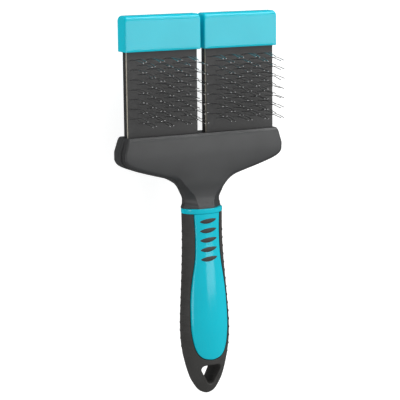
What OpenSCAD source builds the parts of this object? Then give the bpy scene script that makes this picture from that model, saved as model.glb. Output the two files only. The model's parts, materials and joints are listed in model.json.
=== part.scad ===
// Double flexible slicker brush, lying on its back.
// +X runs to the right of the pin side, +Y from the handle to the caps, +Z out of the pins.
// The origin is on the resting plane, at the middle of the overall length.

/* [Pads] */
// Overall length from the handle's tip to the caps' tops
length = 211; // [208:0.5:212]
// Width of one pad
pad_w = 41.4; // [40:0.2:41.6]
// Thickness of one pad, all layers together
pad_t = 5.5; // [5:0.1:5.6]
// Length of pad that shows between cap and head
pad_show = 45.6; // [45:0.1:50]
// Thickness of the springy carrier plate
plate_t = 1.6; // [1.2:0.1:1.8]
// Thickness of the pale woven ply
ply_t = 1.3; // [0.9:0.1:1.5]
// Thickness of the rubber face
sheet_t = 0.4; // [0.3:0.05:0.8]

/* [Caps] */
// Width of one cap
cap_w = 44.6; // [43:0.1:45]
// Height of one cap along the brush
cap_h = 19.1; // [17:0.1:20]
// Thickness of one cap
cap_t = 9.9; // [8.5:0.05:10.5]
// Gap between the two caps
cap_gap = 2.3; // [2:0.1:3.4]
// Radius of the caps' top edges
cap_edge_r = 3; // [2:0.1:3.5]
// Radius of the caps' top corners, seen from the front
cap_corner_r = 1.6; // [1:0.1:2.5]
// Wall of the cap beyond the pad's end
cap_top_wall = 4; // [3:0.1:5]

/* [Pins] */
// Diameter of the pin wire
wire_d = 0.4; // [0.3:0.05:0.5]
// Height of the pin tips above the pad's face
pin_h = 16; // [12:0.5:16]
// Height of the knee above the pad's face
knee_h = 8; // [5:0.5:9]
// How far a knee leans towards the caps
knee_lean = 1.2; // [0:0.1:2.5]
// How far a tip leans back towards the handle from its knee
pin_lean = 1; // [0:0.1:3]
// Columns of pins across one pad, an even number
pin_cols = 16; // [12:2:16]
// Pins in one column
pin_rows = 7; // [6:1:7]
// Distance between two columns
col_pitch = 2.55; // [2.3:0.05:2.6]
// Distance between two pins in a column
row_pitch = 5.2; // [4.8:0.1:5.2]

/* [Handle] */
// Length of the handle from the collar's upper edge to the tip
handle_len = 105; // [103:0.5:106]

/* [Flex joint] */
// Depth of the bead's axis below the head's mouth
pivot_depth = 3.8; // [3.6:0.1:4]
// Radius of the bead along the carrier's root
bead_r = 2.3; // [2.1:0.05:2.4]
// Radial running clearance of the bead in its socket
bead_play = 0.05; // [0.03:0.01:0.08]
// Room in the slot in front of and behind the pad
slot_room = 1.4; // [1.35:0.05:1.6]

/* [Hanging hole] */
// Half-width between the centres of the hole's upper corners
hole_half_w = 3.7; // [3.4:0.1:3.9]
// Length between the upper corners and the lower one
hole_drop = 6.7; // [6:0.1:6.8]
// Radius of the hole's corners
hole_r = 2.15; // [2:0.05:2.3]

/* [Thumb ribs] */
// Number of ribs
rib_count = 5; // [3:1:5]
// Distance between two ribs
rib_pitch = 5.2; // [5:0.1:5.4]
// Length of a rib across the panel, from point to point
rib_len = 10.2; // [8:0.1:10.5]
// Rise of a rib's upper edge above the line between its points
rib_rise = 0.5; // [0.3:0.1:0.8]
// Sag of a rib's lower edge below the line between its points
rib_sag = 2.1; // [1.6:0.1:2.4]
// Tilt of a rib, its right end up
rib_tilt = 8; // [0:1:10]
// How far a rib stands proud of the panel
rib_proud = 0.25; // [0.1:0.05:0.4]

/* [Hidden] */
$fn = 48;

LEFT = -1;
RIGHT = 1;
HUGE = 200;
TURQUOISE = [0.02, 0.66, 0.74];
DARK_GREY = [0.24, 0.25, 0.26];

mid_z = 7.25;
cap_top_y = length / 2;
cap_bottom_y = cap_top_y - cap_h;
mouth_y = cap_bottom_y - pad_show;
pad_x = (cap_gap + cap_w) / 2;
pad_back_z = mid_z - pad_t / 2;
face_z = mid_z + pad_t / 2;
cap_back_z = mid_z - cap_t / 2 - 0.4;
foam_z = pad_back_z + plate_t;
sheet_z = face_z - sheet_t;
ply_z = sheet_z - ply_t;
pad_end_y = cap_top_y - cap_top_wall;
collar_y = handle_len - length / 2;
neck_y = mouth_y - 27.1;

pivot_y = mouth_y - pivot_depth;
socket_r = bead_r + bead_play;
web_t = 1.9;
heel_y = pivot_y + 3;
heel_len = 1.2;
throat_half = 1.85;
slot_floor_y = pivot_y + 1.7;
slot_half = pad_t / 2 + slot_room;
slot_side_room = 0.3;

// Plan of the T-shaped head from its mouth to the neck: y, half-width, setback above the ledge
HEAD_PLAN = [
    [mouth_y, 45.2, 0], [mouth_y - 1, 45.95, 0.15], [mouth_y - 5.3, 47.4, 0.5], [mouth_y - 10.1, 48.8, 0.7],
    [mouth_y - 14.4, 47.2, 1.1], [mouth_y - 17.1, 42.6, 2.2], [mouth_y - 20.7, 31.3, 2.3],
    [mouth_y - 23.8, 20.4, 1.8], [neck_y, 15, 0.9]
];
// Height of the ledge that runs round the head's edge
ledge_z = 9.7;
// Front and back of the head, seen from the side: y, height
face_level = 14.2;
HEAD_FRONT = [
    [mouth_y, 13.4], [mouth_y - 2, 14], [mouth_y - 10, 14.5], [mouth_y - 20, face_level], [neck_y, 13.8]
];
HEAD_BACK = [[neck_y, 0.3], [neck_y + 3.3, 0], [mouth_y - 1, 0], [mouth_y, 0.6]];

// Stations of the neck from the head to the collar: distance above the collar's upper edge,
// half-width, front height, back height, front edge's inset and drop, roundness of the back
NECK = [
    [17.6, 15.7, 13.9, 0.1, 1.6, 1.6, 0.3], [14.1, 15, 13.8, 0.2, 2.3, 2.2, 0.4],
    [10, 12.7, 13.3, 0.4, 3.6, 4, 0.6], [5, 10.7, 13.1, 0.4, 3.7, 4.6, 0.85],
    [2, 10.9, 13.9, 0.3, 3.9, 5.6, 0.95], [0, 11.7, 15.9, 0.2, 4.1, 7.2, 1]
];
neck_arc = 8;

// Stations of the handle: distance below the collar's upper edge, half-width, half-thickness, axis height
HANDLE = [
    [0, 11.95, 8.2, 8.2], [10, 11.75, 8.3, 8.3], [22, 11.9, 8.55, 8.55], [36, 12.65, 9.15, 9.15],
    [52, 13.75, 9.85, 9.85], [68, 14.5, 10.25, 10.25], [79, 13.6, 10, 10.45],
    [88, 11.8, 8.9, 10.75], [96, 9.2, 7.5, 11], [102, 5.6, 5.2, 11.2], [104, 3.3, 3.3, 11.25],
    [handle_len, 1.1, 1.3, 11.3]
];

// The hard front panel: distance below the collar's upper edge, half-width
PANEL = [
    [-2, 7.9], [10, 7.3], [18, 7.2], [28, 7.75], [38, 9.4], [48, 10.65], [60, 11.2], [68, 11],
    [75, 9.95], [79.6, 8.4], [82.3, 6.2], [83.7, 3.6]
];
panel_end = 84.2;

collar_h = 2.6;
grip_wall = 2.4;
tang_end = 84;
spigot_w = 11;
spigot_t = 6.5;
spigot_len = 22;
rib_first = 6.8;
rib_depth = 1.2;
hole_from_collar = 89.75;

// Places in the head for the joining pegs
PEGS = [[14, 27.5], [37, 30.5]];
peg_r = 1.5;
peg_len = 3;
boss_r = 3;
shell_wall = 2.2;

// A smooth curve through a list of points of any dimension
function curve_at(a, b, c, d, t) =
    0.5 * (2 * b + (c - a) * t + (2 * a - 5 * b + 4 * c - d) * t * t + (3 * b - a - 3 * c + d) * t * t * t);
function curve(pts, steps) = concat(
    [for (i = [0 : len(pts) - 2], s = [0 : steps - 1])
        curve_at(pts[max(i - 1, 0)], pts[i], pts[i + 1], pts[min(i + 2, len(pts) - 1)], s / steps)],
    [pts[len(pts) - 1]]
);

// Stations given as distances below the collar's upper edge, or above it
function from_collar(list, way) =
    [for (s = list) concat([collar_y + way * s[0]], [for (i = [1 : len(s) - 1]) s[i]])];
function below_collar(list) = from_collar(list, -1);
function above_collar(list) = from_collar(list, 1);

// A closed solid through rings that all have the same number of points
module loft(rings) {
    n = len(rings[0]);
    last = len(rings) - 1;
    sides = [for (i = [0 : last - 1], j = [0 : n - 1]) let (k = (j + 1) % n)
        each [[i * n + j, i * n + k, (i + 1) * n + k], [i * n + j, (i + 1) * n + k, (i + 1) * n + j]]];
    start_cap = [[for (j = [n - 1 : -1 : 0]) j]];
    end_cap = [[for (j = [0 : n - 1]) last * n + j]];
    polyhedron(points = [for (r = rings, p = r) p], faces = concat(sides, start_cap, end_cap));
}

// A polygon whose corners, given by their centres in clockwise order, are true arcs
module rounded(centres, r) {
    n = len(centres);
    ends = [for (i = [0 : n - 1]) let (
        a = centres[i], b = centres[(i + 1) % n], d = (b - a) / norm(b - a), out = [-d.y, d.x] * r
    ) each [a + out, b + out]];
    polygon(ends);
    for (c = centres) translate(c) circle(r);
}

// Lays a section drawn in Y and Z along X, centred on the given x
module along_x(x, width) {
    translate([x - width / 2, 0, 0]) rotate([90, 0, 90]) linear_extrude(width) children();
}

// ---- Handle ----

ring_points = 24;

function handle_ring(s, inset) = [for (k = [0 : ring_points - 1]) let (a = 360 * k / ring_points)
    [(s[1] - inset) * cos(a), s[0], s[3] + (s[2] - inset) * sin(a)]];

// The handle's outer form, shrunk by inset, as a row of convex slices
module handle_form(inset = 0) {
    stations = [for (s = curve(below_collar(HANDLE), 2)) if (min(s[1], s[2]) > inset + 0.2) s];
    for (i = [1 : len(stations) - 1])
        hull() loft([handle_ring(stations[i - 1], inset), handle_ring(stations[i], inset)]);
}

module slab_y(low, high) {
    translate([-HUGE / 2, low, -HUGE / 2]) cube([HUGE, high - low, HUGE]);
}

module panel_outline() {
    edge = curve(below_collar(PANEL), 2);
    polygon(concat(
        [for (p = edge) [p[1], p[0]]], [[0, collar_y - panel_end]],
        [for (i = [len(edge) - 1 : -1 : 0]) [-edge[i][1], edge[i][0]]]
    ));
}

module spigot_block(play = 0) {
    translate([-spigot_w / 2, collar_y - spigot_len, mid_z - spigot_t / 2])
        cube([spigot_w, spigot_len + play, spigot_t]);
}

// A leaf between two points on the X axis: its upper edge rises and its lower edge sags as parabolas
function leaf(reach, rise, sag, steps) = concat(
    [for (k = [-steps : steps]) let (t = k / steps) [reach * t, rise * (1 - t * t)]],
    [for (k = [steps - 1 : -1 : 1 - steps]) let (t = k / steps) [reach * t, -sag * (1 - t * t)]]
);

module rib_prism(i) {
    y = collar_y - rib_first - i * rib_pitch;
    translate([0, y + (rib_sag - rib_rise) / 2, mid_z + 1]) linear_extrude(HUGE) rotate(rib_tilt)
         polygon(leaf(rib_len / 2, rib_rise, rib_sag, 6));
}

// The share of the handle's form that is hard core: collar, panel and tang
module core_share() {
    slab_y(collar_y - collar_h, collar_y + 1);
    translate([0, 0, mid_z + 1]) linear_extrude(HUGE) panel_outline();
    intersection() {
        handle_form(grip_wall);
        slab_y(collar_y - tang_end, collar_y + 1);
    }
}

module handle_core() color(TURQUOISE) difference() {
    intersection() {
        handle_form();
        core_share();
    }
    spigot_block(1);
    difference() {
        for (i = [0 : rib_count - 1]) rib_prism(i);
        handle_form(rib_depth);
    }
}

module thumb_ribs() color(DARK_GREY) {
    for (i = [0 : rib_count - 1]) difference() {
        intersection() {
            rib_prism(i);
            handle_form(-rib_proud);
        }
        handle_form(rib_depth);
    }
}

module grip_overmould() color(DARK_GREY) difference() {
    handle_form();
    core_share();
    translate([0, collar_y - hole_from_collar, -1]) linear_extrude(HUGE)
        rounded([[-hole_half_w, 0], [hole_half_w, 0], [0, -hole_drop]], hole_r);
}

// ---- Head ----

// The head's plan: setback is 0 for the whole of it and 1 for the part above the ledge
module head_plan(setback) {
    side = [for (s = curve(HEAD_PLAN, 3)) [s[1] - setback * s[2], s[0]]];
    polygon(concat(side, [for (i = [len(side) - 1 : -1 : 0]) [-side[i][0], side[i][1]]]));
}

// One section of the neck: a flat front with bevelled edges and a rounded back
function neck_ring(s) = let (w = s[1], top = s[2], shoulder = top - s[5], deep = shoulder - s[3], k = s[6])
    concat(
        [[w - s[4], s[0], top], [-w + s[4], s[0], top]],
        [for (i = [0 : neck_arc]) let (a = 180 - 180 * i / neck_arc, c = cos(a))
            [w * sign(c) * pow(abs(c), k), s[0], shoulder - deep * pow(abs(sin(a)), k)]]
    );

module head_form() {
    intersection() {
        union() {
            linear_extrude(ledge_z) head_plan(0);
            linear_extrude(HUGE) head_plan(1);
        }
        along_x(0, HUGE) polygon(concat(HEAD_BACK, curve(HEAD_FRONT, 2)));
    }
    stations = above_collar(NECK);
    for (i = [1 : len(stations) - 1]) hull() loft([neck_ring(stations[i - 1]), neck_ring(stations[i])]);
}

// Everything a pad needs free inside the head: bead socket, throat and slot
module pad_room(side) {
    along_x(side * pad_x, pad_w + 2 * slot_side_room) {
        translate([pivot_y, mid_z]) circle(socket_r);
        translate([pivot_y, mid_z - throat_half]) square([slot_floor_y - pivot_y + 1, 2 * throat_half]);
        translate([slot_floor_y, mid_z - slot_half]) square([HUGE, 2 * slot_half]);
    }
}

// Outline of the hollow that lightens each half of the head
WELL = [[6.5, 20], [18, 20.5], [41, 27], [44.5, 30], [44.5, 33], [6.5, 33]];

module core_out(z, height) {
    for (m = [0, 1]) mirror([m, 0, 0]) translate([0, 0, z]) difference() {
        linear_extrude(height) polygon(WELL);
        for (p = PEGS) translate([p.x, p.y, -1]) cylinder(r = boss_r, h = height + 2);
    }
}

module at_pegs() {
    for (m = [0, 1], p = PEGS) mirror([m, 0, 0]) translate([p.x, p.y, 0]) children();
}

module head_front_shell() color(DARK_GREY) {
    difference() {
        union() {
            head_form();
            spigot_block();
        }
        translate([-HUGE / 2, -HUGE / 2, mid_z - HUGE]) cube([HUGE, HUGE, HUGE]);
        pad_room(LEFT);
        pad_room(RIGHT);
        core_out(mid_z - 1, face_level - shell_wall - mid_z + 1);
    }
    at_pegs() translate([0, 0, mid_z - peg_len]) cylinder(r = peg_r, h = peg_len + 1);
}

module head_back_shell() color(DARK_GREY) difference() {
    union() {
        head_form();
        spigot_block();
    }
    translate([-HUGE / 2, -HUGE / 2, mid_z]) cube([HUGE, HUGE, HUGE]);
    pad_room(LEFT);
    pad_room(RIGHT);
    core_out(shell_wall, mid_z);
    at_pegs() translate([0, 0, mid_z - peg_len - 0.2]) cylinder(r = peg_r, h = peg_len + 1);
}

// ---- Pads ----

module layer(side, z, thickness, start_y) {
    translate([side * pad_x - pad_w / 2, start_y, z]) cube([pad_w, pad_end_y - start_y, thickness]);
}

module flex_plate(side) color(DARK_GREY) {
    along_x(side * pad_x, pad_w) {
        translate([pivot_y, mid_z]) circle(bead_r);
        translate([pivot_y, ply_z - web_t]) square([heel_y - pivot_y + heel_len / 2, web_t]);
        translate([heel_y, pad_back_z]) square([heel_len, ply_z - pad_back_z]);
        translate([heel_y, pad_back_z]) square([pad_end_y - heel_y, plate_t]);
    }
}

module foam_layer(side) color([0.16, 0.16, 0.17]) layer(side, foam_z, ply_z - foam_z, heel_y + heel_len);

module fabric_ply(side) color([0.72, 0.71, 0.67]) layer(side, ply_z, ply_t, heel_y);

module face_sheet(side) color([0.2, 0.2, 0.21]) layer(side, sheet_z, sheet_t, heel_y);

module cap(side) color(TURQUOISE) difference() {
    intersection() {
        along_x(side * pad_x, cap_w) {
            translate([cap_bottom_y, cap_back_z]) square([cap_h - cap_edge_r, cap_t]);
            translate([cap_bottom_y, cap_back_z + cap_edge_r]) square([cap_h, cap_t - 2 * cap_edge_r]);
            for (z = [cap_back_z + cap_edge_r, cap_back_z + cap_t - cap_edge_r])
                translate([cap_top_y - cap_edge_r, z]) circle(cap_edge_r);
        }
        linear_extrude(HUGE) {
            reach = cap_w / 2 - cap_corner_r;
            translate([side * pad_x - cap_w / 2, cap_bottom_y]) square([cap_w, cap_h - cap_corner_r]);
            translate([side * pad_x - reach, cap_bottom_y]) square([2 * reach, cap_h]);
            for (m = [-1, 1]) translate([side * pad_x + m * reach, cap_top_y - cap_corner_r])
                circle(cap_corner_r);
        }
    }
    translate([side * pad_x - pad_w / 2, cap_bottom_y - 1, pad_back_z])
        cube([pad_w, pad_end_y - cap_bottom_y + 1, pad_t]);
}

// ---- Pins ----

wire_sides = 5;
col_shift = row_pitch / 4;
field_top_y = cap_bottom_y - 4;

function unit(v) = v / norm(v);
function pin_y(col, row) = field_top_y - (col % 4) * col_shift - row * row_pitch;
function pin_base(side, col, row) =
    [side * pad_x + (col - (pin_cols - 1) / 2) * col_pitch, pin_y(col, row), ply_z];
function leg(base) = [
    base, [base.x, base.y + knee_lean, face_z + knee_h], [base.x, base.y + knee_lean - pin_lean, face_z + pin_h]
];
function staple_path(a, b) = concat([for (i = [2 : -1 : 0]) leg(a)[i]], leg(b));
function mitre(path, i) = let (n = len(path) - 1)
    i == 0 ? unit(path[1] - path[0]) :
    i == n ? unit(path[n] - path[n - 1]) :
    unit(unit(path[i] - path[i - 1]) + unit(path[i + 1] - path[i]));
function carry(ring, along, to, normal) = [for (p = ring) p + along * (((to - p) * normal) / (along * normal))];
function first_ring(path) = let (d = unit(path[1] - path[0]), u = [1, 0, 0], v = cross(d, u))
    [for (k = [0 : wire_sides - 1]) let (a = 360 * k / wire_sides)
        path[0] + wire_d / 2 * (u * cos(a) - v * sin(a))];
function wire_rings(path) = [
    for (i = 0, ring = first_ring(path); i < len(path);
        i = i + 1,
        ring = i < len(path) ? carry(ring, unit(path[i] - path[i - 1]), path[i], mitre(path, i)) : ring)
        ring
];

function is_corner(pair, row) = (pair == 0 || pair == pin_cols / 2 - 1) && (row == 0 || row == pin_rows - 1);

// The U-shaped wires of one pad: the corner ones or all the others
module staples(side, corners) color([0.75, 0.76, 0.78]) {
    for (pair = [0 : pin_cols / 2 - 1], row = [0 : pin_rows - 1]) if (is_corner(pair, row) == corners) {
        rings = wire_rings(staple_path(pin_base(side, 2 * pair, row), pin_base(side, 2 * pair + 1, row)));
        for (i = [1 : len(rings) - 1]) hull() loft([rings[i - 1], rings[i]]);
    }
}

module left_flex_plate() flex_plate(LEFT);
module left_foam_layer() foam_layer(LEFT);
module left_fabric_ply() fabric_ply(LEFT);
module left_face_sheet() face_sheet(LEFT);
module left_pins() staples(LEFT, false);
module left_corner_pins() staples(LEFT, true);
module left_cap() cap(LEFT);
module right_flex_plate() flex_plate(RIGHT);
module right_foam_layer() foam_layer(RIGHT);
module right_fabric_ply() fabric_ply(RIGHT);
module right_face_sheet() face_sheet(RIGHT);
module right_pins() staples(RIGHT, false);
module right_corner_pins() staples(RIGHT, true);
module right_cap() cap(RIGHT);

head_front_shell();
head_back_shell();
handle_core();
grip_overmould();
thumb_ribs();
left_flex_plate();
left_foam_layer();
left_fabric_ply();
left_face_sheet();
left_pins();
left_corner_pins();
left_cap();
right_flex_plate();
right_foam_layer();
right_fabric_ply();
right_face_sheet();
right_pins();
right_corner_pins();
right_cap();
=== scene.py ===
import json
import math
import random

import bmesh
import bpy
import numpy as np
from mathutils import Matrix, Vector


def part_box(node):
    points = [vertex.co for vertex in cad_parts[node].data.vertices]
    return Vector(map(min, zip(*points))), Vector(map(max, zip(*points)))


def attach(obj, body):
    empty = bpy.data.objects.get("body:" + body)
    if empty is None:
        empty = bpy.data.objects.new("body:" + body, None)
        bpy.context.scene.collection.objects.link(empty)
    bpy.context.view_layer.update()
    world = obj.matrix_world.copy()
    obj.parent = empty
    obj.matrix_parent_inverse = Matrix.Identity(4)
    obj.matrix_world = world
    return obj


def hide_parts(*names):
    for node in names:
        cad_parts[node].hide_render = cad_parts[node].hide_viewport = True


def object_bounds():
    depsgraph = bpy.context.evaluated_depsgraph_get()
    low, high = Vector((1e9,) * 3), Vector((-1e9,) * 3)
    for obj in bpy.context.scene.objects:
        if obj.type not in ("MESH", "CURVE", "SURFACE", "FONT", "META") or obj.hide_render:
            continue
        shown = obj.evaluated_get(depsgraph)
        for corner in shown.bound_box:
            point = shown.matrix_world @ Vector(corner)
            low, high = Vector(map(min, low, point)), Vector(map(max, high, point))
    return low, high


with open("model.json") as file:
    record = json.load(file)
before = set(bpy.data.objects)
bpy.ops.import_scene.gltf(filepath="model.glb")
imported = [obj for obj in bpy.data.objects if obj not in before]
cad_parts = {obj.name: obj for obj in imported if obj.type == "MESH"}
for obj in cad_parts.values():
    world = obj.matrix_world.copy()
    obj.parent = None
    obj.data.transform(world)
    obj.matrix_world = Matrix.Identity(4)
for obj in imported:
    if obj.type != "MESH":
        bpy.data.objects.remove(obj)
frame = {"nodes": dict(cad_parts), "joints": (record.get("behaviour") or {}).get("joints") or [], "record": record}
cad_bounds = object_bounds()

MM = 0.001
SIDES = ("left", "right")
SHARP_ANGLE = math.radians(28)
MERGE_MM = 0.004


# ---- Reading the frame, in millimetres ----

def box_mm(node):
    low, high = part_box(node)
    return low / MM, high / MM


def cad_mesh(*nodes):
    """Vertices in mm and triangles of CAD nodes, joined."""
    points, triangles, start = [], [], 0
    for name in nodes:
        mesh = frame["nodes"][name].data
        mesh.calc_loop_triangles()
        points.append(np.array([v.co for v in mesh.vertices]) / MM)
        triangles.append(np.array([t.vertices for t in mesh.loop_triangles]) + start)
        start += len(mesh.vertices)
    return np.concatenate(points), np.concatenate(triangles)


def slice_y(mesh, y):
    """The points (x, z) where the plane at y cuts the mesh's edges."""
    points, triangles = mesh
    a = points[triangles[:, [0, 1, 2]]].reshape(-1, 3)
    b = points[triangles[:, [1, 2, 0]]].reshape(-1, 3)
    crossing = (a[:, 1] - y) * (b[:, 1] - y) < 0
    a, b = a[crossing], b[crossing]
    share = ((y - a[:, 1]) / (b[:, 1] - a[:, 1]))[:, None]
    return (a + (b - a) * share)[:, [0, 2]]


def islands(node):
    """The separate solids of a CAD node, each an array of points in mm."""
    mesh = frame["nodes"][node].data
    work = bmesh.new()
    work.from_mesh(mesh)
    bmesh.ops.remove_doubles(work, verts=work.verts, dist=MERGE_MM * MM)
    seen, found = set(), []
    for first in work.verts:
        if first in seen:
            continue
        stack, group = [first], []
        seen.add(first)
        while stack:
            v = stack.pop()
            group.append(v.co / MM)
            for e in v.link_edges:
                other = e.other_vert(v)
                if other not in seen:
                    seen.add(other)
                    stack.append(other)
        found.append(np.array(group))
    work.free()
    return found


def spline(values, count):
    """A smooth curve through evenly spaced values, as count values."""
    v = np.array(values, float)
    v = np.concatenate([[2 * v[0] - v[1]], v, [2 * v[-1] - v[-2]]])
    t = np.linspace(0, len(values) - 1, count)
    i = np.minimum(t.astype(int), len(values) - 2)
    f = t - i
    a, b, c, d = v[i], v[i + 1], v[i + 2], v[i + 3]
    cubic = (3 * b - a - 3 * c + d) * f + (2 * a - 5 * b + 4 * c - d)
    return 0.5 * ((cubic * f + (c - a)) * f + 2 * b)


def smoothstep(t):
    t = min(1.0, max(0.0, t))
    return t * t * (3 - 2 * t)


def mix(a, b, t):
    return a + (b - a) * t


# ---- Sizes read off the frame ----

mid_z = box_mm("head_back_shell")[1].z
mouth_y = box_mm("head_front_shell")[1].y
collar_y = box_mm("handle_core")[1].y
panel_end_y = box_mm("handle_core")[0].y
tip_y = box_mm("grip_overmould")[0].y
grip_top_y = box_mm("grip_overmould")[1].y


# ---- Meshes ----

def new_object(name, mesh):
    obj = bpy.data.objects.new(name, mesh)
    bpy.context.scene.collection.objects.link(obj)
    return obj


def finish_mesh(work, name):
    bmesh.ops.remove_doubles(work, verts=work.verts, dist=MERGE_MM * MM)
    bmesh.ops.dissolve_degenerate(work, edges=work.edges, dist=MERGE_MM * MM)
    bmesh.ops.recalc_face_normals(work, faces=work.faces)
    mesh = bpy.data.meshes.new(name)
    work.to_mesh(mesh)
    work.free()
    shade(mesh)
    return new_object(name, mesh)


def shade(mesh):
    mesh.polygons.foreach_set("use_smooth", [True] * len(mesh.polygons))
    mesh.set_sharp_from_angle(angle=SHARP_ANGLE)
    mesh.update()


def ring_faces(work, rows, first, last, skip):
    """Quads between closed rows of vertices, and faces over the two ends."""
    count = len(rows[0])
    for i in range(len(rows) - 1):
        for j in range(count):
            if skip and skip(i, j):
                continue
            k = (j + 1) % count
            corners = [rows[i][j], rows[i][k], rows[i + 1][k], rows[i + 1][j]]
            work.faces.new(corners)
    if first:
        work.faces.new(list(reversed(rows[0])))
    if last:
        work.faces.new(rows[-1])


def loft(name, rows, last=True, wrap=False, skip=None, more=()):
    """A mesh through rows of points in mm, each row a closed loop. more holds further lofts."""
    work = bmesh.new()
    for part in [rows, *more]:
        made = [[work.verts.new(Vector(p) * MM) for p in row] for row in part]
        if wrap:
            made.append(made[0])
        ring_faces(work, made, not wrap, last and not wrap, skip)
    return finish_mesh(work, name)


def cut(obj, *cutters):
    """Takes the cutters out of obj, and removes them."""
    for cutter in cutters:
        modifier = obj.modifiers.new("cut", "BOOLEAN")
        modifier.operation = "DIFFERENCE"
        modifier.solver = "EXACT"
        modifier.object = cutter
    graph = bpy.context.evaluated_depsgraph_get()
    mesh = bpy.data.meshes.new_from_object(obj.evaluated_get(graph))
    obj.modifiers.clear()
    obj.data = mesh
    for cutter in cutters:
        bpy.data.objects.remove(cutter)
    shade(mesh)
    return obj


def rectangle(x, y, half_x, half_y, z):
    return [(x - half_x, y - half_y, z), (x + half_x, y - half_y, z),
            (x + half_x, y + half_y, z), (x - half_x, y + half_y, z)]


def place(obj, body, slot, material, *nodes):
    obj.data.materials.clear()
    obj.data.materials.append(material)
    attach(obj, body)
    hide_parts(*nodes)
    return obj


# ---- Materials ----

class Nodes:
    """A small helper that builds one procedural material."""

    def __init__(self, name):
        self.material = bpy.data.materials.new(name)
        self.material.use_nodes = True
        self.tree = self.material.node_tree
        self.shader = self.tree.nodes["Principled BSDF"]
        self.place = self.add("ShaderNodeTexCoord").outputs["Object"]

    def add(self, kind, **inputs):
        node = self.tree.nodes.new(kind)
        for key, value in inputs.items():
            node.inputs[key.replace("_", " ")].default_value = value
        return node

    def link(self, source, target):
        self.tree.links.new(source, target)

    def noise(self, scale, detail=3.0, stretch=(1, 1, 1)):
        mapping = self.add("ShaderNodeMapping", Scale=stretch)
        self.link(self.place, mapping.inputs["Vector"])
        noise = self.add("ShaderNodeTexNoise", Scale=scale, Detail=detail)
        self.link(mapping.outputs["Vector"], noise.inputs["Vector"])
        return noise.outputs["Fac"]

    def weave(self, scale, bands="X"):
        """Bands that follow one another along X or Y."""
        wave = self.tree.nodes.new("ShaderNodeTexWave")
        wave.bands_direction = bands
        wave.inputs["Scale"].default_value = scale
        wave.inputs["Distortion"].default_value = 0.4
        self.link(self.place, wave.inputs["Vector"])
        return wave.outputs["Fac"]

    def pores(self, scale):
        voronoi = self.add("ShaderNodeTexVoronoi", Scale=scale)
        self.link(self.place, voronoi.inputs["Vector"])
        return voronoi.outputs["Distance"]

    def math(self, operation, a, b):
        node = self.tree.nodes.new("ShaderNodeMath")
        node.operation = operation
        for socket, value in zip(node.inputs, (a, b)):
            if isinstance(value, (int, float)):
                socket.default_value = value
            else:
                self.link(value, socket)
        return node.outputs["Value"]

    def colours(self, factor, *stops):
        """A ramp from one colour to another over the middle of a factor."""
        ramp = self.tree.nodes.new("ShaderNodeValToRGB")
        low, high = ramp.color_ramp.elements
        low.position, high.position = 0.3, 0.7
        low.color, high.color = (*stops[0], 1), (*stops[1], 1)
        self.link(factor, ramp.inputs["Fac"])
        self.link(ramp.outputs["Color"], self.shader.inputs["Base Color"])

    def roughness(self, factor, low, high):
        spread = self.tree.nodes.new("ShaderNodeMapRange")
        spread.inputs["To Min"].default_value = low
        spread.inputs["To Max"].default_value = high
        self.link(factor, spread.inputs["Value"])
        self.link(spread.outputs["Result"], self.shader.inputs["Roughness"])

    def bump(self, height, depth_mm):
        bump = self.add("ShaderNodeBump", Strength=1.0, Distance=depth_mm * MM)
        self.link(height, bump.inputs["Height"])
        self.link(bump.outputs["Normal"], self.shader.inputs["Normal"])


def moulded_plastic(name, dark, light, rough, grain, depth, cloud=60.0, gloss=0.5):
    m = Nodes(name)
    broad = m.noise(cloud, 2.0)
    fine = m.noise(grain, 4.0)
    m.colours(broad, dark, light)
    m.roughness(fine, rough[0], rough[1])
    m.bump(m.math("ADD", fine, m.math("MULTIPLY", broad, 2.0)), depth)
    m.shader.inputs["Specular IOR Level"].default_value = gloss
    return m.material


def woven_ply():
    m = Nodes("woven_ply")
    threads = m.math("ADD", m.weave(900.0), m.weave(900.0, "Y"))
    m.colours(m.noise(500.0), (0.34, 0.31, 0.25), (0.46, 0.43, 0.36))
    m.roughness(m.noise(900.0), 0.75, 0.95)
    m.bump(threads, 0.05)
    return m.material


def rubber_face():
    m = Nodes("rubber_face")
    grain = m.noise(2600.0, 5.0)
    threads = m.math("MULTIPLY", m.weave(420.0), m.weave(420.0, "Y"))
    m.colours(grain, (0.040, 0.040, 0.040), (0.058, 0.058, 0.058))
    m.roughness(grain, 0.5, 0.7)
    m.bump(m.math("ADD", grain, threads), 0.05)
    return m.material


def open_foam():
    m = Nodes("open_foam")
    pores = m.pores(1600.0)
    m.colours(pores, (0.010, 0.010, 0.011), (0.040, 0.040, 0.041))
    m.roughness(pores, 0.85, 1.0)
    m.bump(pores, 0.15)
    return m.material


def steel_wire():
    m = Nodes("steel_wire")
    drawn = m.noise(900.0, 3.0, (1, 1, 0.15))
    m.colours(drawn, (0.30, 0.30, 0.305), (0.42, 0.42, 0.425))
    m.roughness(drawn, 0.26, 0.42)
    m.bump(drawn, 0.01)
    m.shader.inputs["Metallic"].default_value = 1.0
    return m.material


def soft_grip():
    m = Nodes("soft_grip")
    grain = m.noise(1500.0, 6.0)
    m.colours(m.noise(90.0), (0.033, 0.032, 0.030), (0.043, 0.042, 0.040))
    m.roughness(grain, 0.55, 0.8)
    m.bump(grain, 0.06)
    return m.material


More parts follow.
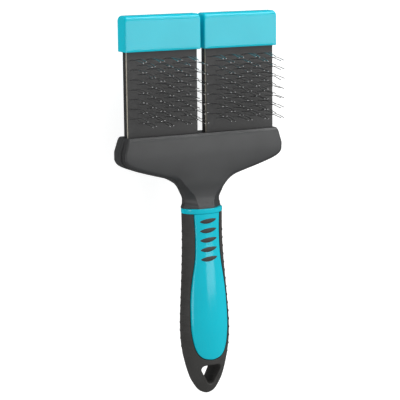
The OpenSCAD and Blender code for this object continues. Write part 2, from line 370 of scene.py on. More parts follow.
TURQUOISE = ((0.0, 0.50, 0.625), (0.0, 0.525, 0.65))
core_plastic = moulded_plastic("core_plastic", *TURQUOISE, (0.11, 0.15), 500.0, 0.001, 60.0, 0.35)
cap_plastic = moulded_plastic("cap_plastic", *TURQUOISE, (0.10, 0.14), 500.0, 0.001, 60.0, 0.35)
GREY = ((0.031, 0.032, 0.033), (0.040, 0.042, 0.043))
head_plastic = moulded_plastic("head_plastic", *GREY, (0.36, 0.46), 1100.0, 0.03, 45.0)
carrier_plastic = moulded_plastic(
    "carrier_plastic", (0.018, 0.018, 0.019), (0.028, 0.028, 0.029), (0.4, 0.5), 900.0, 0.02)
grip_rubber = soft_grip()
rib_rubber = soft_grip()
face_rubber = rubber_face()
pad_foam = open_foam()
pad_ply = woven_ply()
wire = steel_wire()


# ---- The handle's form ----

HANDLE_KNOTS = 26
FORM_STEPS = 260
BACK_RELIEF = 0.04


def section_of(mesh, y):
    """Half-width, half-thickness and axis height of the elliptical section at y."""
    points = slice_y(mesh, y)
    widest = points[points[:, 0].argmax()]
    half_w, axis_z = widest
    below = points[(points[:, 1] < axis_z - 0.5) & (abs(points[:, 0]) < 0.9 * half_w)]
    half_t = ((axis_z - below[:, 1]) / np.sqrt(1 - (below[:, 0] / half_w) ** 2)).max()
    return half_w, half_t, axis_z


def handle_tables():
    """The handle's sections from tip to collar, smooth, as arrays to interpolate in."""
    mesh = cad_mesh("handle_core", "grip_overmould")
    turn = np.linspace(0.03, 1, HANDLE_KNOTS)
    reach = collar_y - tip_y - 0.05
    ys = tip_y + reach * (1 - np.cos(turn * math.pi / 2))
    sections = [section_of(mesh, y) for y in ys]
    fine = [spline(column, FORM_STEPS) for column in zip(*sections)]
    return [spline(ys, FORM_STEPS), *fine]


form_y, form_w, form_t, form_z = handle_tables()


def form_at(y):
    half_w, half_t, axis_z = (np.interp(y, form_y, v) for v in (form_w, form_t, form_z))
    return float(half_w), float(half_t) - BACK_RELIEF, float(axis_z)


def front_z(x, y):
    """Height of the handle's front surface."""
    half_w, half_t, axis_z = form_at(y)
    return axis_z + half_t * math.sqrt(max(0.0, 1 - (x / half_w) ** 2))


# ---- The front panel, its collar and the soft grip ----

PANEL_KNOTS = 22
PANEL_ROWS = 260
PANEL_RIM = 0.5
PANEL_SKIRT = 1.3
GROOVE = 0.42
LIP = 0.35
POCKET_DEPTH = 1.7
RIM_STEPS = 4


def panel_outline():
    """Right side of the panel from the collar to its end: (x, y, normal x, normal y)."""
    mesh = cad_mesh("handle_core")
    turn = np.linspace(0, 1, PANEL_KNOTS)
    reach = grip_top_y - 0.1 - panel_end_y
    ys = panel_end_y + reach * (1 - np.cos(turn * math.pi / 2))
    widths = [0.0]
    for y in ys[1:]:
        points = slice_y(mesh, y)
        outer = [p for p in points if p[1] > mid_z + 3 and abs(p[1] - front_z(p[0], y)) < 0.2]
        widths.append(max(abs(p[0]) for p in outer))
    x = spline(widths, PANEL_ROWS)[::-1]
    y = spline(ys, PANEL_ROWS)[::-1]
    x[-1] = 0.0
    return with_normals(x, y)


def with_normals(x, y):
    dx, dy = np.gradient(x), np.gradient(y)
    size = np.hypot(dx, dy)
    nx, ny = -dy / size, dx / size
    if x[-1] < 0.01:
        nx[-1], ny[-1] = 0.0, -1.0
    return list(zip(x, y, nx, ny))


def offset(point, distance):
    """A plan point moved along its outward normal, kept on the right side."""
    x, y, nx, ny = point
    return max(0.0, x + nx * distance), y + ny * distance


def arc_steps(steps, end=90.0):
    return [math.radians(end * k / steps) for k in range(steps + 1)]


def panel_row(point):
    skirt = [(*offset(point, -0.05), PANEL_SKIRT), (*offset(point, 0), PANEL_RIM)]
    rim = [(*offset(point, -PANEL_RIM * (1 - math.cos(a))), PANEL_RIM * (1 - math.sin(a)))
           for a in arc_steps(RIM_STEPS)][1:]
    side = [(x, y, front_z(x, y) - drop) for x, y, drop in skirt + rim]
    x, y, _ = side[-1]
    top = [(x * c, y, front_z(x * c, y)) for c in np.linspace(0.9, 0, 9)]
    return side + top


def panel_rows(outline):
    rows = []
    for point in outline:
        side = panel_row(point)
        left = [(-x, y, z) for x, y, z in reversed(side[:-1])]
        x, y, z = side[0]
        floor = [(x * c, y, front_z(x * c, y) - PANEL_SKIRT) for c in np.linspace(-0.6, 0.6, 4)]
        rows.append(side + left + floor)
    return rows


COLLAR_PROUD = 0.12
COLLAR_EDGE = 0.3
COLLAR_WALL = 2.0
COLLAR_GAP = 0.02
COLLAR_TURNS = 96
COLLAR_BACK = -0.5


def collar_rows():
    """The ring under the head: sections round the handle, each a closed loop. Flush at the back."""
    low, high = grip_top_y + COLLAR_GAP, collar_y - COLLAR_GAP
    profile = [(high, -COLLAR_WALL), (high, COLLAR_PROUD - COLLAR_EDGE)]
    for a in arc_steps(RIM_STEPS)[1:]:
        profile.append((high - COLLAR_EDGE * math.sin(a),
                        COLLAR_PROUD - COLLAR_EDGE * (math.cos(a) if a < 1.5 else 0)))
    for a in arc_steps(RIM_STEPS):
        profile.append((low + COLLAR_EDGE * (1 - math.sin(a)),
                        COLLAR_PROUD - COLLAR_EDGE * (1 - math.cos(a))))
    profile.append((low, -COLLAR_WALL))
    rows = []
    for turn in np.linspace(0, 2 * math.pi, COLLAR_TURNS + 1)[:-1]:
        row = []
        for y, grow in profile:
            half_w, half_t, axis_z = form_at(y)
            if math.cos(turn) <= COLLAR_BACK:
                grow = min(grow, 0.0)
            row.append(((half_w + grow) * math.sin(turn), y,
                        axis_z + (half_t + grow) * math.cos(turn)))
        rows.append(row)
    return rows


OUTER_STEPS = 26
NORMAL_FADE = 8
MARK_PITCH = 4.6
MARK_HEIGHT = 0.3
MARK_SHARPNESS = 8
MARK_FRONT, MARK_REAR, MARK_FADE = 52, 114, 12
MARK_TOP, MARK_TOP_FADE = 5, 4
MARK_END, MARK_END_FADE = 18, 10
TIP_ROWS = 60
TIP_START = 0.06
TIP_MARGIN = 0.1
PANEL_END_GAP = 0.4


def side_mark(y, turn):
    """Height of the faint ribs on the grip's two sides."""
    angle = math.degrees(turn)
    across = smoothstep((angle - MARK_FRONT) / MARK_FADE) * smoothstep((MARK_REAR - angle) / MARK_FADE)
    near_top = smoothstep((grip_top_y - MARK_TOP - y) / MARK_TOP_FADE)
    along = near_top * smoothstep((y - tip_y - MARK_END) / MARK_END_FADE)
    wave = max(0.0, math.cos(math.pi * (y - tip_y) / MARK_PITCH) ** 2) ** MARK_SHARPNESS
    return MARK_HEIGHT * across * along * wave


def grip_side(point, open_pocket):
    """The right side of one row of the grip, from the pocket's floor to the middle of the back."""
    _, y0, _, ny = point
    start = GROOVE + LIP
    if open_pocket:
        walls = [(offset(point, GROOVE), POCKET_DEPTH), (offset(point, GROOVE), LIP)]
        lip = [(offset(point, start - LIP * math.cos(a)), LIP * (1 - math.sin(a)))
               for a in arc_steps(RIM_STEPS)][1:]
        edge = [(x, y, front_z(x, y) - drop) for (x, y), drop in walls + lip]
        bottom = edge[0]
        floor = [(bottom[0] * c, bottom[1], front_z(bottom[0] * c, bottom[1]) - POCKET_DEPTH)
                 for c in (0, 0.5)]
        side = floor + edge
        edge_x, shift = side[-1][0], ny * start
    else:
        side = [(0.0, y0, front_z(0, y0))] * (RIM_STEPS + 4)
        edge_x, shift = 0.0, 0.0
    return side + outer_surface(y0, edge_x, shift)


def outer_surface(y0, edge_x, shift):
    half_w, _, _ = form_at(y0)
    soften = LIP * max(0.0, 1 - (grip_top_y - y0) / LIP) ** 2
    begin = math.asin(min(1.0, edge_x / half_w))
    points = []
    for j in range(1, OUTER_STEPS + 1):
        turn = mix(begin, math.pi, j / OUTER_STEPS)
        y = y0 + shift * max(0.0, 1 - j / NORMAL_FADE) ** 2
        w, t, z = form_at(y)
        grow = side_mark(y, turn) - soften
        points.append(((w + grow) * math.sin(turn), y, z + (t + grow) * math.cos(turn)))
    return points


def grip_rows(outline):
    rows = [grip_side(p, True) for p in outline]
    last = len(rows) - 1
    start = panel_end_y - GROOVE - LIP - PANEL_END_GAP
    reach = start - tip_y - TIP_MARGIN
    for share in np.linspace(1, TIP_START, TIP_ROWS):
        y = tip_y + TIP_MARGIN + reach * (1 - math.cos(share * math.pi / 2))
        rows.append(grip_side((0.0, y, 0.0, -1.0), False))
    closed = []
    for side in rows:
        left = [(-x, y, z) for x, y, z in reversed(side[1:-1])]
        closed.append(side + left)
    return closed, last


HOLE_EDGE = 0.9
HOLE_CORNER = 2.15
HOLE_STEPS = 7
ARC_POINTS = 9
CUTTER_REACH = 1.5
CUTTER_FLARE = 0.4


def hole_corners():
    """The low and high corners, in plan, of the hanging hole's straight wall in the CAD grip."""
    mount = next(m for m in frame["record"]["mounts"] if m["name"] == "hang_hole")
    middle = np.array(mount["pos_m"][:2]) / MM
    points, triangles = cad_mesh("grip_overmould")
    wall = []
    for corners in points[triangles]:
        side = np.cross(corners[1] - corners[0], corners[2] - corners[0])
        centre = corners.mean(0)
        upright = abs(side[2]) < 1e-3 * np.linalg.norm(side)
        if upright and centre[1] < panel_end_y - 1 and side[:2] @ (middle - centre[:2]) > 0:
            wall.extend(corners)
    return np.min(wall, axis=0), np.max(wall, axis=0)


def hole_plan(grow):
    """Points round the hanging hole, its corners' arcs grown by grow."""
    low, high = hole_corners()
    radius = HOLE_CORNER
    reach = high[0] - radius
    top, bottom = high[1] - radius, low[1] + radius
    corners = [((reach, top), -30, 90), ((-reach, top), 90, 210), ((0.0, bottom), 210, 330)]
    plan = []
    for (x, y), a0, a1 in corners:
        for a in np.radians(np.linspace(a0, a1, ARC_POINTS)):
            plan.append((x + (radius + grow) * math.cos(a), y + (radius + grow) * math.sin(a)))
    return plan


def hole_cutter():
    """A cutter whose two ends flare out to round the hole's edges."""
    flare = [(HOLE_EDGE * (1 - math.sin(a)), HOLE_EDGE * (1 - math.cos(a)))
             for a in arc_steps(HOLE_STEPS)]
    ends = hole_plan(flare[0][0] + CUTTER_FLARE)
    rows = [[(x, y, front_z(x, y) + CUTTER_REACH) for x, y in ends]]
    for grow, drop in flare:
        rows.append([(x, y, front_z(x, y) - drop) for x, y in hole_plan(grow)])
    for grow, drop in reversed(flare):
        rows.append([(x, y, back_z(x, y) + drop) for x, y in hole_plan(grow)])
    rows.append([(x, y, back_z(x, y) - CUTTER_REACH) for x, y in ends])
    return loft("hole_cutter", rows)


def back_z(x, y):
    half_w, half_t, axis_z = form_at(y)
    return axis_z - half_t * math.sqrt(max(0.0, 1 - (x / half_w) ** 2))


outline = panel_outline()
core = loft("core_panel", panel_rows(outline), last=False)
collar = loft("collar_ring", collar_rows(), wrap=True)
place(core, "handle", "hard_core", core_plastic, "handle_core")
place(collar, "handle", "hard_core", core_plastic)

grip_loops, grip_last = grip_rows(outline)
pocket_columns = RIM_STEPS + 3


def grip_skip(i, j):
    """The pocket's columns end where the panel ends."""
    count = len(grip_loops[0])
    from_front = min(j, count - 1 - j)
    return i >= grip_last and from_front < pocket_columns


grip = loft("soft_grip", grip_loops, skip=grip_skip)
cut(grip, hole_cutter())
place(grip, "handle", "soft_grip", grip_rubber, "grip_overmould")


# ---- Thumb ribs ----

RIB_COUNT = 5
RIB_TILT = math.radians(5.5)
RIB_RISE = 1.05
RIB_SAG = 1.6
RIB_PROUD = 0.45
RIB_FULLNESS = 0.68
RIB_ROOT = 0.5
RIB_ALONG = 20
RIB_ACROSS = 8


def rib_point(u, v, reach):
    """A point of the leaf outline's inside, in plan: u along it and v across it."""
    belly = (1 - u * u) ** RIB_FULLNESS * (1 - 0.12 * u)
    x = reach * u
    y = belly * ((RIB_RISE - RIB_SAG) / 2 + v * (RIB_RISE + RIB_SAG) / 2)
    return (x * math.cos(RIB_TILT) - y * math.sin(RIB_TILT),
            x * math.sin(RIB_TILT) + y * math.cos(RIB_TILT))


def rib_rows(middle_y, reach):
    rows = []
    for u in np.sin(np.linspace(-1, 1, RIB_ALONG + 1) * math.pi / 2):
        row = []
        for v in np.sin(np.linspace(-1, 1, RIB_ACROSS + 1) * math.pi / 2):
            x, y = rib_point(u, v, reach)
            dome = (RIB_PROUD + 0.1) * ((1 - v * v) * (1 - u * u)) ** 0.4 - 0.1
            row.append((x, middle_y + y, front_z(x, middle_y + y) + dome))
        under = [(x, y, front_z(x, y) - RIB_ROOT) for x, y, _ in reversed(row)]
        rows.append(row + under)
    return rows


rib_low, rib_high = box_mm("thumb_ribs")
rib_reach = (rib_high.x - rib_low.x) / 2 / math.cos(RIB_TILT)
rib_plan = [rib_point(u, v, rib_reach)[1] for u in np.linspace(-1, 1, 41) for v in (-1, 1)]
rib_first = rib_high.y - max(rib_plan)
rib_last = rib_low.y - min(rib_plan)
ribs = [rib_rows(y, rib_reach) for y in np.linspace(rib_first, rib_last, RIB_COUNT)]
thumb_ribs = loft("thumb_ribs", ribs[0], more=ribs[1:])
place(thumb_ribs, "handle", "soft_grip", rib_rubber, "thumb_ribs")


# ---- The head's two shells ----

HEAD_KNOTS = 44
HEAD_ROWS = 110
LEDGE_ABOVE_PARTING = 2.45
HEAD_CROWN = 0.35
FACE_SMOOTHING = 3.0
LIP_DROP = 0.75
LIP_WIDTH = 2.0
BACK_RADIUS = 1.5
HEAD_FULLNESS = 0.42
PARTING_GAP = 0.1
T_RIM = (1.3, 1.4, 90.0)
T_RIM_GROWTH = (0.7, 0.9)
SETBACK_LIMIT = 0.7
NECK_START = 22.5
NECK_BLEND = 9
NECK_CREASE = 42.0
NECK_WIDEST = 1.5
NECK_FACE = (0.2, 0.6, 13.0)
NECK_BACK = 78.0


class HeadRow:
    """The measures of the head's section at one point of its outline."""


def head_tables():
    """Half-width, front share's half-width, front height and back height over y, smooth."""
    mesh = cad_mesh("head_front_shell", "head_back_shell")
    ledge = mid_z + LEDGE_ABOVE_PARTING
    ys = np.linspace(mouth_y - 0.03, collar_y + 0.03, HEAD_KNOTS)
    table = []
    for y in ys:
        points = slice_y(mesh, y)
        upper = points[points[:, 1] > ledge + 0.25]
        table.append((abs(points[:, 0]).max(), abs(upper[:, 0]).max(),
                      points[:, 1].max(), points[:, 1].min()))
    columns = [np.array(c) for c in zip(*table)]
    for c in columns[:2]:
        c[1:-1] = 0.25 * c[:-2] + 0.5 * c[1:-1] + 0.25 * c[2:]
    return [spline(v, 400) for v in (ys, *columns)]


def even_outline(y, w):
    """Outline points at even distances along the curve, with rows at the mouth's edge."""
    distance = np.concatenate([[0], np.cumsum(np.hypot(np.diff(y), np.diff(w)))])
    at = np.linspace(0, distance[-1], HEAD_ROWS)
    ys = list(np.interp(at, distance, y))
    lip = [mouth_y - s * LIP_WIDTH for s in (0, 0.35, 0.7, 1)]
    ys = sorted(set(lip + [v for v in ys if v < lip[-1] - 0.3]), reverse=True)
    return np.array(ys)


def soft_top(ys, tops):
    """The front face's height: the CAD's, with its corners smoothed away."""
    level = np.minimum(tops, tops[len(tops) // 4]) - 0.02
    reach = max(1, int(FACE_SMOOTHING * len(ys) / (ys[0] - ys[-1])))
    kernel = np.hanning(2 * reach + 3)[1:-1]
    padded = np.concatenate([[level[0]] * reach, level, [level[-1]] * reach])
    soft = np.convolve(padded, kernel / kernel.sum(), "valid")
    near_collar = np.clip((ys - ys[-1]) / FACE_SMOOTHING, 0, 1)
    return np.minimum(soft * near_collar + level * (1 - near_collar), tops.max() - 0.02)


table_y, table_w, table_front_w, table_top, table_low = head_tables()
face_top = soft_top(table_y, table_top)


def at_height(y, values):
    return np.interp(y, table_y[::-1], values[::-1])


def top_at(x, y, half_w):
    """Height of the head's front face: crowned across, and sloping down to the mouth's lip."""
    lip = LIP_DROP * max(0.0, 1 - (mouth_y - y) / LIP_WIDTH) ** 2
    return float(at_height(y, face_top)) - lip - HEAD_CROWN * (x / half_w) ** 2


def head_rows():
    ys = even_outline(table_y, table_w)
    ws = at_height(ys, table_w)
    rows = []
    widest = box_mm("head_back_shell")[1].x - 0.02
    for x, y, nx, ny in with_normals(ws, ys):
        row = HeadRow()
        row.neck = smoothstep((mouth_y - NECK_START - y) / NECK_BLEND)
        row.setback = x - float(at_height(y, table_front_w))
        near_end = smoothstep(min(mouth_y - y, y - ys[-1]) / 3)
        nx, ny = mix(1, nx, near_end), mix(0, ny, near_end)
        size = math.hypot(nx, ny)
        grow = HEAD_FULLNESS * smoothstep((y - collar_y - 5) / 5)
        x = min(widest, x + grow * nx / size)
        row.point = (x, y + grow * near_end * ny / size, nx / size, ny / size)
        measure_row(row)
        rows.append(row)
    return rows


def measure_row(row):
    x, y, _, ny = row.point
    lower_edge = max(0.0, -ny) * (1 - row.neck)
    row.setback = min(SETBACK_LIMIT, max(0.02, row.setback * (1 - row.neck)))
    share = mix(NECK_FACE[0], NECK_FACE[1], smoothstep(1 - (y - collar_y) / NECK_FACE[2]))
    neck_rim = (share * x, float(at_height(y, face_top)) - mid_z - NECK_WIDEST)
    t_rim = [size + growth * lower_edge for size, growth in zip(T_RIM, T_RIM_GROWTH)]
    row.inset, row.drop = (mix(a, b, row.neck) for a, b in zip(t_rim, neck_rim))
    row.end = mix(T_RIM[2], NECK_CREASE, min(1.0, 5 * row.neck))
    row.in_x, row.in_y = offset(row.point, -row.setback - row.inset)
    row.edge_z = top_at(row.in_x, row.in_y, x)
    row.rim_z = row.edge_z - row.drop
    ledge = mid_z + LEDGE_ABOVE_PARTING
    row.wall_z = mix(ledge - 0.3, row.rim_z - 0.15, row.neck)
    row.ledge_z = mix(ledge, row.rim_z - 0.1, row.neck)
    row.shelf_z = mix(ledge + 0.04, row.rim_z - 0.05, row.neck)
    row.low = float(at_height(y, table_low)) + 0.01
    deep = row.wall_z - row.low
    row.round_x = mix(BACK_RADIUS, x * mix(0.8, 0.5, row.neck), min(1.0, 2 * row.neck))
    row.round_z = mix(BACK_RADIUS, deep, row.neck)
    row.round_end = mix(90, NECK_BACK, row.neck)
    row.straight = deep - row.round_z * math.sin(math.radians(row.round_end))


def side_inset(row, z):
    """How far the side lies inside the outline at a height below the wall's top."""
    sine = (row.wall_z - z - row.straight) / row.round_z
    return row.round_x * (1 - math.sqrt(1 - min(1.0, max(0.0, sine)) ** 2))


def front_side(row):
    """Right side of the front shell's section, from the parting up to the face's edge."""
    low = mid_z + PARTING_GAP / 2
    half = (row.wall_z + low) / 2
    spots = [(side_inset(row, low) + 0.15, low), (side_inset(row, low + 0.15), low + 0.15),
             (side_inset(row, half), half), (0, row.wall_z), (0.1 * row.setback, row.ledge_z),
             (row.setback * 0.9, row.shelf_z), (row.setback, (row.shelf_z + row.rim_z) / 2)]
    end = math.radians(row.end)
    for k, a in enumerate(arc_steps(8, row.end)):
        round_in = (1 - math.cos(a)) / (1 - math.cos(end))
        round_fall = (math.sin(end) - math.sin(a)) / math.sin(end)
        facet = min(1.0, 2 * row.neck)
        inset = row.inset * mix(round_in, (k / 8) ** 0.9, facet)
        fall = row.drop * mix(round_fall, 1 - k / 8, facet)
        spots.append((row.setback + inset, row.edge_z - fall))
    return [(*offset(row.point, -d), z) for d, z in spots]


def back_side(row):
    """Right side of the back shell's section, from the parting down to the back face's edge."""
    high = mid_z - PARTING_GAP / 2
    sine = (row.wall_z - high + 0.15 - row.straight) / row.round_z
    start = math.degrees(math.asin(min(1.0, max(0.0, sine))))
    spots = [(side_inset(row, high) + 0.15, high), (side_inset(row, high - 0.15), high - 0.15)]
    for a in np.radians(np.linspace(start, row.round_end, 9)):
        z = row.wall_z - row.straight - row.round_z * math.sin(a)
        spots.append((row.round_x * (1 - math.cos(a)), min(z, high - 0.16)))
    return [(*offset(row.point, -d), z) for d, z in spots]


def front_loop(row):
    side = front_side(row)
    x, y, _ = side[-1]
    face = [(x * c, y, top_at(x * c, y, row.point[0])) for c in np.linspace(1, -1, 25)[1:-1]]
    return close_loop(side, face)


def back_loop(row):
    side = back_side(row)
    x, y, z = side[-1]
    face = [(x * c, y, z) for c in np.linspace(1, -1, 11)[1:-1]]
    return close_loop(side, face)


def close_loop(side, face):
    """The side, the face and the mirrored side, closed along the parting."""
    left = [(-x, y, z) for x, y, z in reversed(side)]
    x, y, z = side[0]
    parting = [(x * c, y, z) for c in np.linspace(-1, 1, 7)[1:-1]]
    return side + face + left + parting


SLOT_FLARE = 0.3
SLOT_SIDE_ROOM = 0.3
SLOT_ROOM = 1.4
SLOT_FLOOR_DEPTH = 2.1


def slot_cutter(side):
    """The room for one pad in the head, flared at the mouth."""
    low, high = box_mm(side + "_face_sheet")
    back = box_mm(side + "_flex_plate")[0].z
    middle_x, half_x = (low.x + high.x) / 2, (high.x - low.x) / 2 + SLOT_SIDE_ROOM
    half_z = (high.z - back) / 2 + SLOT_ROOM
    rows = []
    for y, grow in ((mouth_y - SLOT_FLOOR_DEPTH, 0), (mouth_y - SLOT_FLARE, 0),
                    (mouth_y + 0.02, SLOT_FLARE), (mouth_y + 2, SLOT_FLARE)):
        loop = rectangle(middle_x, 0, half_x + 0.3 * grow, half_z + grow, 0)
        rows.append([(x, y, mid_z + z) for x, z, _ in loop])
    return loft(side + "_slot", rows)


head_sections = head_rows()
head_front = loft("head_front", [front_loop(r) for r in head_sections])
cut(head_front, *[slot_cutter(s) for s in SIDES])
place(head_front, "handle", "head_plastic", head_plastic, "head_front_shell")
head_back = loft("head_back", [back_loop(r) for r in head_sections])
cut(head_back, *[slot_cutter(s) for s in SIDES])
place(head_back, "handle", "head_plastic", head_plastic, "head_back_shell")


# ---- Pads ----

PLATE_EDGE = 0.2
PLATE_END_EDGE = 0.12
WEB_THICKNESS = 1.9
BEAD_POINTS = 28
FOAM_EDGE = 0.25
LAYER_EDGE = 0.12


def soft_box(name, low, high, radius):
    """A box with rounded edges, as sections along Z."""
    middle = (low + high) / 2
    half = (high - low) / 2
    rows = []
    steps = arc_steps(4)
    levels = [(half.z - radius * (1 - math.sin(a)), radius * (1 - math.cos(a))) for a in steps]
    levels = [(-z, d) for z, d in reversed(levels)] + [(0, 0)] + levels
    for z, d in levels:
        rows.append(rounded_loop(middle, half.x - d, half.y - d, max(0.3, radius), middle.z + z))
    return loft(name, rows)


def rounded_loop(middle, half_x, half_y, radius, z):
    loop = []
    for sx, sy, start in ((1, -1, -90), (1, 1, 0), (-1, 1, 90), (-1, -1, 180)):
        for a in np.radians(np.linspace(start, start + 90, 5)):
            loop.append((middle.x + sx * (half_x - radius) + radius * math.cos(a),
                         middle.y + sy * (half_y - radius) + radius * math.sin(a), z))
    return loop


def plate_section(side):
    """The carrier's section in Y and Z: the bead, its web, the heel and the springy plate."""
    low, high = box_mm(side + "_flex_plate")
    foam_low, _ = box_mm(side + "_foam_layer")
    ply_low, _ = box_mm(side + "_fabric_ply")
    joint = next(j for j in frame["joints"] if j["child"] == side + "_pad")
    pivot_y, pivot_z = joint["pos_m"][1] / MM, joint["pos_m"][2] / MM
    radius = pivot_y - low.y
    ply_z, foam_z, heel_y, heel_end = ply_low.z, foam_low.z, ply_low.y, foam_low.y
    first = math.asin((ply_z - pivot_z) / radius)
    last = 2 * math.pi - math.asin((pivot_z - ply_z + WEB_THICKNESS) / radius)
    arc = [(pivot_y + radius * math.cos(a), pivot_z + radius * math.sin(a))
           for a in np.linspace(first, last, BEAD_POINTS)]
    e = PLATE_EDGE
    rest = [(heel_y, ply_z - WEB_THICKNESS), (heel_y, low.z + e), (heel_y + e, low.z),
            (high.y - e, low.z), (high.y, low.z + e), (high.y, foam_z - e / 2),
            (high.y - e / 2, foam_z), (heel_end, foam_z), (heel_end, ply_z)]
    return arc + rest


def plate(side):
    low, high = box_mm(side + "_flex_plate")
    section = plate_section(side)
    middle = np.mean(section, axis=0)
    rows = []
    e = PLATE_END_EDGE
    for x, shrink in ((low.x, e), (low.x + e, 0), (high.x - e, 0), (high.x, e)):
        rows.append([(x, y - shrink * np.sign(y - middle[0]), z - shrink * np.sign(z - middle[1]))
                     for y, z in section])
    return loft(side + "_plate", rows)


CAP_EDGE = (2.6, 0.55, 0.3)
CAP_CORNER = 1.5
CAP_LOW_CORNER = 0.3
CAP_CORNER_POINTS = 8
CAP_POCKET_ROOM = 0.05
CAP_LEVELS = (0, 0.03, 0.1, 0.22, 0.4, 0.65, 0.9, 1.3, 1.8, 2.2, 2.6)


def roll(radius, depth):
    """How far an edge of that radius has drawn in at a depth below the face."""
    return radius - math.sqrt(radius ** 2 - (radius - min(depth, radius)) ** 2)


def cap_loop(low, high, z, depth):
    top, sides, bottom = (roll(r, depth) for r in CAP_EDGE)
    x0, x1, y0, y1 = low.x + sides, high.x - sides, low.y + bottom, high.y - top
    loop = []
    for cx, cy, r, start in ((x1, y0, CAP_LOW_CORNER, -90), (x1, y1, CAP_CORNER, 0),
                             (x0, y1, CAP_CORNER, 90), (x0, y0, CAP_LOW_CORNER, 180)):
        sx, sy = (1 if cx == x1 else -1), (1 if cy == y1 else -1)
        for a in np.radians(np.linspace(start, start + 90, CAP_CORNER_POINTS)):
            loop.append((cx - sx * r + r * math.cos(a), cy - sy * r + r * math.sin(a), z))
    return loop


def cap_face(low, high, z):
    """Inner loops that close a cap's big face."""
    ring = cap_loop(low, high, z, 0)
    centre = np.mean(ring, axis=0)
    return [[(mix(centre[0], x, share), mix(centre[1], y, share), z) for x, y, _ in ring]
            for share in (0.8, 0.55, 0.3, 0.1)]


def cap(side):
    low, high = box_mm(side + "_cap")
    back = [cap_loop(low, high, low.z + d, d) for d in CAP_LEVELS]
    front = [cap_loop(low, high, high.z - d, d) for d in reversed(CAP_LEVELS)]
    rows = list(reversed(cap_face(low, high, low.z))) + back + front
    rows += cap_face(low, high, high.z)
    obj = loft(side + "_end_cap", rows)
    pad_low, pad_high = box_mm(side + "_face_sheet")
    back_z_low = box_mm(side + "_flex_plate")[0].z
    room = CAP_POCKET_ROOM
    middle = (pad_low + pad_high) / 2
    pocket = [rectangle(middle.x, (low.y - 1 + pad_high.y) / 2, (pad_high.x - pad_low.x) / 2 + room,
                        (pad_high.y + room - low.y + 1) / 2, z)
              for z in (back_z_low - room, pad_high.z + room)]
    return cut(obj, loft(side + "_pocket", pocket))


# ---- Pins ----

WIRE_SIDES = 6
WIRE_RADIUS = 0.17
TIP_RADIUS = 0.22
KNEE_SHARE = 0.5
BEND_POINTS = 5
BEND_SIZE = 2.6
PIN_SWAY = 0.45
KNEE_INSET = 0.25
TIP_ZONE = 0.5
TIP_INSET = 0.06
sway = random.Random(41)


def staple_line(points, face_z):
    """The centreline of one U-shaped wire, from the CAD staple's own corners."""
    low, high = points.min(0), points.max(0)
    radius = WIRE_RADIUS
    roots = points[points[:, 2] < low[2] + 3 * radius]
    root_y = (roots[:, 1].min() + roots[:, 1].max()) / 2
    knee_y = high[1] - KNEE_INSET
    tips = points[points[:, 2] > high[2] - TIP_ZONE]
    end_y = (tips[:, 1].min() + tips[:, 1].max()) / 2
    knee_z = mix(face_z, high[2], KNEE_SHARE)
    legs = []
    for x, inward in ((low[0] + radius, 1), (high[0] - radius, -1)):
        dx, dy = inward * sway.uniform(0, PIN_SWAY), sway.uniform(-PIN_SWAY, PIN_SWAY)
        down = sway.uniform(0, 2 * PIN_SWAY)
        legs.append([(x, root_y, low[2] + radius), (x, knee_y - down, knee_z),
                     (x + dx, end_y + dy, high[2] - TIP_INSET)])
    corners = list(reversed(legs[0])) + legs[1]
    return bend([Vector(c) for c in corners]), radius


def bend(corners):
    """The line through corners, each inner corner rounded."""
    line = [corners[0]]
    for a, b, c in zip(corners, corners[1:], corners[2:]):
        size = min(BEND_SIZE, (a - b).length / 2.2, (c - b).length / 2.2)
        start, end = b + (a - b).normalized() * size, b + (c - b).normalized() * size
        for t in np.linspace(0, 1, BEND_POINTS):
            line.append(start * (1 - t) ** 2 + b * (2 * t * (1 - t)) + end * t * t)
    return line + [corners[-1]]


def tube_rows(line, radius):
    rows = []
    side = Vector((1, 0, 0))
    for i, p in enumerate(line):
        along = (line[min(i + 1, len(line) - 1)] - line[max(i - 1, 0)]).normalized()
        side = side - along * side.dot(along)
        if side.length < 0.1:
            side = Vector((0, 1, 0)) - along * along.y
        side.normalize()
        up = along.cross(side)
        turns = [2 * math.pi * k / WIRE_SIDES for k in range(WIRE_SIDES)]
        if i in (0, len(line) - 1):
            radius, up = TIP_RADIUS, Vector((0, math.copysign(1, up.y), 0))
        rows.append([tuple(p + side * (radius * math.cos(a)) + up * (radius * math.sin(a)))
                     for a in turns])
        radius = WIRE_RADIUS
    return rows


def pins(side, node, name):
    face_z = box_mm(side + "_face_sheet")[1].z
    staples = [tube_rows(*staple_line(points, face_z)) for points in islands(node)]
    return loft(name, staples[0], more=staples[1:])


for side in SIDES:
    body = side + "_pad"
    place(plate(side), body, "carrier_plastic", carrier_plastic, side + "_flex_plate")
    foam = soft_box(side + "_foam", *box_mm(side + "_foam_layer"), FOAM_EDGE)
    place(foam, body, "foam", pad_foam, side + "_foam_layer")
    ply = soft_box(side + "_ply", *box_mm(side + "_fabric_ply"), LAYER_EDGE)
    place(ply, body, "woven_ply", pad_ply, side + "_fabric_ply")
    face = soft_box(side + "_face", *box_mm(side + "_face_sheet"), LAYER_EDGE)
    place(face, body, "face_rubber", face_rubber, side + "_face_sheet")
    place(cap(side), body, "cap_plastic", cap_plastic, side + "_cap")
    for node, name in ((side + "_pins", side + "_pin_field"),
                       (side + "_corner_pins", side + "_corner_pin_wires")):
        place(pins(side, node, name), body, "pin_wire", wire, node)


# ---- Camera, floor and light ----

AIM_OFFSET = Vector((-2.85, 4.09, -1.0)) * MM
YAW, PITCH, ROLL = (math.radians(a) for a in (27.22, 10.18, -0.628))
DISTANCE = 0.84055
LENS = 138.48


def camera_axes():
    back = Vector((-math.sin(YAW) * math.cos(PITCH), math.sin(PITCH),
                   math.cos(YAW) * math.cos(PITCH)))
    flat = Vector((0, 1, 0)).cross(back).normalized()
    right = flat * math.cos(ROLL) + back.cross(flat) * math.sin(ROLL)
    return right, back.cross(right), back


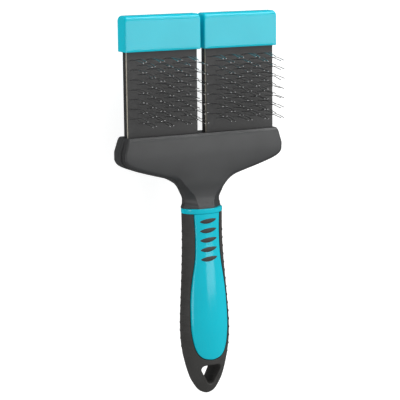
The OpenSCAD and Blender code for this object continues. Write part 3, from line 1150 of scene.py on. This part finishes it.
def add_camera():
    right, up, back = camera_axes()
    low, high = cad_bounds
    camera = bpy.data.objects.new("camera", bpy.data.cameras.new("camera"))
    bpy.context.scene.collection.objects.link(camera)
    at = (low + high) / 2 + AIM_OFFSET + back * DISTANCE
    turn = Matrix((right, up, back)).transposed().to_4x4()
    camera.matrix_world = Matrix.Translation(at) @ turn
    camera.data.lens = LENS
    camera.data.sensor_width = 36
    camera.data.clip_end = 50
    bpy.context.scene.camera = camera


FLOOR_GAP = 0.024
FLOOR_SIZE = 12
FLOOR_GLOW = 0.8
LIGHT_DISTANCE = 1.5


def add_floor():
    work = bmesh.new()
    bmesh.ops.create_grid(work, x_segments=8, y_segments=8, size=FLOOR_SIZE)
    mesh = bpy.data.meshes.new("floor")
    work.to_mesh(mesh)
    work.free()
    floor = new_object("floor", mesh)
    floor.location.z = -FLOOR_GAP
    m = Nodes("floor_paper")
    grain = m.noise(8.0)
    m.colours(grain, (0.48, 0.48, 0.48), (0.5, 0.5, 0.5))
    m.roughness(grain, 0.9, 1.0)
    m.shader.inputs["Emission Color"].default_value = (1, 1, 1, 1)
    m.shader.inputs["Emission Strength"].default_value = FLOOR_GLOW
    mesh.materials.append(m.material)
    floor.visible_glossy = False


def add_panel_light(name, direction, size, power):
    """A soft box that looks at the brush's middle from a direction."""
    data = bpy.data.lights.new(name, "AREA")
    data.shape = "RECTANGLE"
    data.size, data.size_y = size
    data.energy = power
    light = bpy.data.objects.new(name, data)
    bpy.context.scene.collection.objects.link(light)
    way = Vector(direction).normalized()
    light.location = way * LIGHT_DISTANCE
    light.rotation_mode = "QUATERNION"
    light.rotation_quaternion = way.to_track_quat("Z", "Y")


def add_world(above, below):
    """Soft white surroundings, dimmer below the brush than above it."""
    world = bpy.data.worlds.new("studio")
    world.use_nodes = True
    tree = world.node_tree
    background = tree.nodes["Background"]
    background.inputs["Color"].default_value = (1, 1, 1, 1)
    way = tree.nodes.new("ShaderNodeTexCoord")
    split = tree.nodes.new("ShaderNodeSeparateXYZ")
    spread = tree.nodes.new("ShaderNodeMapRange")
    spread.inputs["From Min"].default_value = -0.2
    spread.inputs["From Max"].default_value = 0.4
    spread.inputs["To Min"].default_value = below
    spread.inputs["To Max"].default_value = above
    tree.links.new(way.outputs["Generated"], split.inputs["Vector"])
    tree.links.new(split.outputs["Z"], spread.inputs["Value"])
    tree.links.new(spread.outputs["Result"], background.inputs["Strength"])
    bpy.context.scene.world = world


add_camera()
add_floor()
add_world(0.5, 0.12)
add_panel_light("key", (0.46, 0.0, 0.87), (0.36, 0.9), 3.5)
add_panel_light("strip", (0.45, 0.36, 0.8), (0.9, 0.1), 3)
add_panel_light("top", (0.42, 0.85, 0.4), (1.1, 0.7), 13)
add_panel_light("side", (-0.85, -0.1, 0.45), (0.4, 0.8), 3)
bpy.context.scene.view_settings.view_transform = "Standard"
